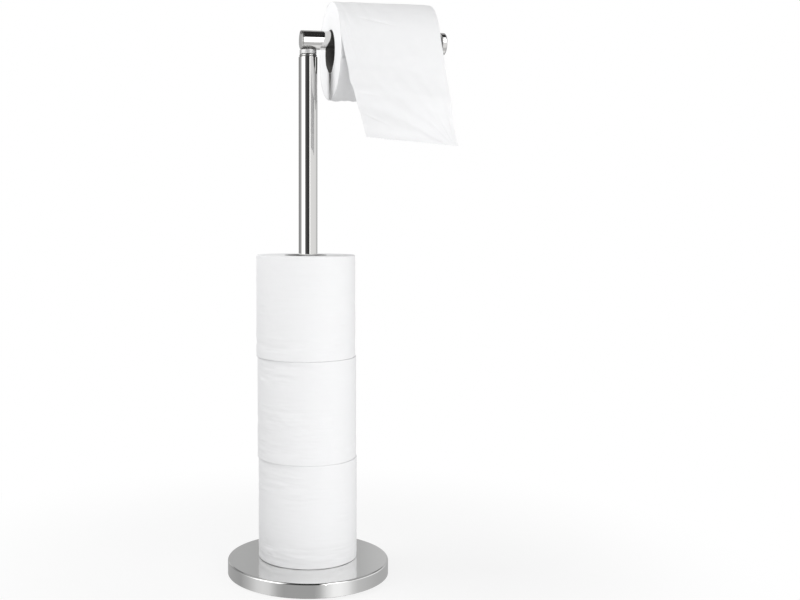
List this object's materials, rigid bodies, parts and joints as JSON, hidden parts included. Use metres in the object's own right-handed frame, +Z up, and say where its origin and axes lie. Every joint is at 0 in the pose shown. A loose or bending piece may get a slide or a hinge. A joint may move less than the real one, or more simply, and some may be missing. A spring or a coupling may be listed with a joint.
{
  "type": "freestanding toilet paper holder",
  "caption": "Freestanding toilet paper holder: weighted round steel base, chrome post with spare rolls, and a level swivelling arm with a capped tip that carries the roll in use.",
  "frame": {"origin": "centre of the base's underside, on the post's axis, where the non-slip pad meets the floor", "axes": "+Z up along the post; +X from the post along the arm to its tip; the pulled sheet hangs on the -Y side, which is the front"},
  "size_m": [0.2275, 0.1758, 0.5832],
  "materials": {
    "satin_steel": "satin",
    "chrome": "polished",
    "zinc_steel": "satin",
    "cast_iron": "matte",
    "foam_rubber": "matte",
    "tissue_paper": "matte",
    "core_board": "matte"
  },
  "bodies": {
    "stand": {"base_cover": "satin_steel", "base_weight": "cast_iron", "base_pad": "foam_rubber", "base_bolt": "zinc_steel", "base_flat_washer": "zinc_steel", "base_spring_washer": "zinc_steel", "post_tube": "chrome", "post_foot_insert": "zinc_steel"},
    "neck_bush": {"swivel_bush": "chrome"},
    "arm": {"neck_spigot": "zinc_steel", "neck_collar": "satin_steel", "neck_retaining_washer": "zinc_steel", "neck_screw": "zinc_steel", "arm_tube": "chrome", "arm_nut_block": "zinc_steel", "arm_end_cap": "chrome", "arm_tip_cap": "chrome"},
    "hanging_roll": {"hanging_roll_paper": "tissue_paper", "hanging_roll_core": "core_board", "hanging_sheet": "tissue_paper"},
    "spare_roll_1": {"spare_roll_1_paper": "tissue_paper", "spare_roll_1_core": "core_board"},
    "spare_roll_2": {"spare_roll_2_paper": "tissue_paper", "spare_roll_2_core": "core_board"},
    "spare_roll_3": {"spare_roll_3_paper": "tissue_paper", "spare_roll_3_core": "core_board"}
  },
  "joints": [
    {"name": "head_lift", "type": "slide", "parent": "stand", "child": "neck_bush", "axis": [0, 0, 1], "range_m": [0, 0.04]},
    {"name": "arm_swivel", "type": "hinge", "parent": "neck_bush", "child": "arm", "pos_m": [0, 0, 0.5303], "axis": [0, 0, 1], "continuous": true},
    {"name": "roll_spin", "type": "hinge", "parent": "arm", "child": "hanging_roll", "pos_m": [0.0735, 0, 0.534], "axis": [1, 0, 0], "continuous": true},
    {"name": "spare_lift_1", "type": "slide", "parent": "stand", "child": "spare_roll_1", "axis": [0, 0, 1], "range_m": [0, 0.022]},
    {"name": "spare_lift_2", "type": "slide", "parent": "spare_roll_1", "child": "spare_roll_2", "axis": [0, 0, 1], "range_m": [0, 0.022]},
    {"name": "spare_lift_3", "type": "slide", "parent": "spare_roll_2", "child": "spare_roll_3", "axis": [0, 0, 1], "range_m": [0, 0.022]}
  ]
}
